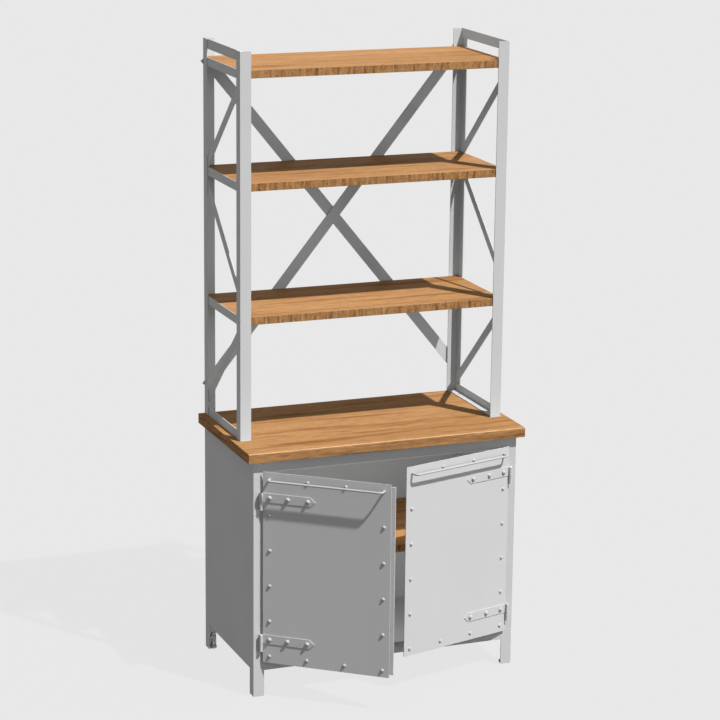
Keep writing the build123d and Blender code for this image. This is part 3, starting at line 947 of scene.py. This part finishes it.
class BuffetSetStage(bpy.types.Operator):
    """Sets the floor, the light and the camera"""

    bl_idname = "buffet.set_stage"
    bl_label = "Set the stage"

    def execute(self, context):
        stage = context.scene.buffet_stage
        self.floor(stage)
        self.light(context, stage)
        self.camera(context, stage)
        context.scene.view_settings.view_transform = "Standard"
        return {"FINISHED"}

    def floor(self, stage):
        """A flat round floor, pale to the camera and dim as a source of light."""
        angle = np.linspace(0.0, 2.0 * math.pi, FLOOR_POINTS, endpoint=False)
        rim = FLOOR_RADIUS * np.stack([np.cos(angle), np.sin(angle), np.zeros_like(angle)], axis=1)
        mesh = bpy.data.meshes.new("floor")
        mesh.from_pydata(rim.tolist(), [], [list(range(len(rim)))])
        floor = bpy.data.objects.new("floor", mesh)
        bpy.context.collection.objects.link(floor)
        material = bpy.data.materials.new("floor")
        material.use_nodes = True
        tree = material.node_tree
        tree.nodes.clear()
        key = stage.key_strength * Vector(stage.light_from).normalized().z / math.pi
        lit = FLOOR_MATT * (key + stage.sky_strength)
        extra = stage.backdrop - lit - stage.floor_bounce
        glow = calc(tree, "MULTIPLY_ADD", seen_rays(tree), extra, stage.floor_bounce)
        pale = add(tree, "ShaderNodeEmission", {"Color": WHITE, "Strength": glow})
        matt = add(tree, "ShaderNodeBsdfDiffuse", {"Color": (FLOOR_MATT,) * 3 + (1.0,)})
        both = add(tree, "ShaderNodeAddShader", {0: pale.outputs[0], 1: matt.outputs[0]})
        add(tree, "ShaderNodeOutputMaterial", {"Surface": both.outputs[0]})
        mesh.materials.append(material)

    def light(self, context, stage):
        """A key light, a soft side light, soft lamps in and under the cabinet, and an even sky.

        The camera sees the sky as the pale backdrop.
        """
        for name, strength, size, origin in (
            ("key light", stage.key_strength, stage.key_size, stage.light_from),
            ("side light", stage.side_strength, stage.side_size, stage.side_from),
        ):
            lamp = bpy.data.lights.new(name, "SUN")
            lamp.energy = strength
            lamp.angle = size
            sun = bpy.data.objects.new(name, lamp)
            sun.rotation_mode = "QUATERNION"
            sun.rotation_quaternion = (-Vector(origin)).to_track_quat("-Z", "Y")
            context.collection.objects.link(sun)
        shelf_low, shelf_high = (corner[2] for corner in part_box("inner_shelf"))
        floor_top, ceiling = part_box("floor_panel")[1][2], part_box("worktop")[0][2]
        before_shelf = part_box("inner_shelf")[0][1] - LAMP_STAND_OFF
        for name, low, high, depth, power in (
            ("lower fill", floor_top, shelf_low, before_shelf, stage.fill_strength),
            ("upper fill", shelf_high, ceiling, before_shelf, stage.fill_strength),
            ("under fill", UNDER_LOW, floor_top - UNDER_DROP, UNDER_DEPTH, stage.under_strength),
        ):
            lamp = bpy.data.lights.new(name, "AREA")
            lamp.energy = power
            lamp.shape = "RECTANGLE"
            lamp.size, lamp.size_y = LAMP_WIDTH, LAMP_SHARE * (high - low)
            fill = bpy.data.objects.new(name, lamp)
            fill.location = (0.0, depth, low + LAMP_CENTRE * (high - low))
            fill.rotation_euler = (math.pi / 2, 0.0, 0.0)
            fill.visible_camera = fill.visible_glossy = False
            context.collection.objects.link(fill)
        world = bpy.data.worlds.new("studio")
        world.use_nodes = True
        tree = world.node_tree
        tree.nodes.clear()
        extra = stage.backdrop - stage.sky_strength
        gain = calc(tree, "MULTIPLY_ADD", seen_rays(tree), extra, stage.sky_strength)
        sky = add(tree, "ShaderNodeBackground", {"Color": WHITE, "Strength": gain})
        add(tree, "ShaderNodeOutputWorld", {"Surface": sky.outputs[0]})
        context.scene.world = world

    def camera(self, context, stage):
        """The camera at the photograph's place: turned right, tilted and rolled by its angles."""
        turn, tilt, roll = stage.camera_turn
        ahead = Vector((math.sin(turn) * math.cos(tilt), math.cos(turn) * math.cos(tilt), math.sin(tilt)))
        level = Vector((math.cos(turn), -math.sin(turn), 0.0))
        above = level.cross(ahead)
        right = math.cos(roll) * level + math.sin(roll) * above
        top = math.cos(roll) * above - math.sin(roll) * level
        data = bpy.data.cameras.new("camera")
        data.sensor_width = SENSOR_WIDTH
        data.lens = stage.lens
        data.clip_end = CAMERA_REACH
        camera = bpy.data.objects.new("camera", data)
        axes = Matrix((right, top, -ahead)).transposed().to_4x4()
        camera.matrix_world = Matrix.Translation(stage.camera_place) @ axes
        context.collection.objects.link(camera)
        context.scene.camera = camera


class BuffetPanel(bpy.types.Panel):
    """Lists the buffet's settings and steps"""

    bl_idname = "VIEW3D_PT_buffet"
    bl_label = "Buffet"
    bl_space_type = "VIEW_3D"
    bl_region_type = "UI"
    bl_category = "Buffet"

    def draw(self, context):
        for settings in (getattr(context.scene, name) for name, _ in SETTINGS):
            box = self.layout.box()
            for name in settings.bl_rna.properties.keys():
                if name not in ("rna_type", "name"):
                    box.prop(settings, name)
        for operator in OPERATORS:
            self.layout.operator(operator.bl_idname)


OPERATORS = (
    BuffetPaintFrame,
    BuffetPaintDoors,
    BuffetFinishSmallParts,
    BuffetWeldHinges,
    BuffetCutThreads,
    BuffetOilBoards,
    BuffetSetStage,
)
SETTINGS = (
    ("buffet_paint", BuffetPaintSettings),
    ("buffet_details", BuffetDetailSettings),
    ("buffet_wood", BuffetWoodSettings),
    ("buffet_stage", BuffetStageSettings),
)


def register():
    for name, settings in SETTINGS:
        bpy.utils.register_class(settings)
        setattr(bpy.types.Scene, name, bpy.props.PointerProperty(type=settings))
    for item in (*OPERATORS, BuffetPanel):
        bpy.utils.register_class(item)


def unregister():
    for item in reversed((*OPERATORS, BuffetPanel)):
        bpy.utils.unregister_class(item)
    for name, settings in reversed(SETTINGS):
        delattr(bpy.types.Scene, name)
        bpy.utils.unregister_class(settings)


def main():
    register()
    bpy.ops.buffet.paint_frame()
    bpy.ops.buffet.paint_doors()
    bpy.ops.buffet.finish_small_parts()
    bpy.ops.buffet.weld_hinges()
    bpy.ops.buffet.cut_threads()
    bpy.ops.buffet.oil_boards()
    bpy.ops.buffet.set_stage()


if __name__ == "__main__":
    main()
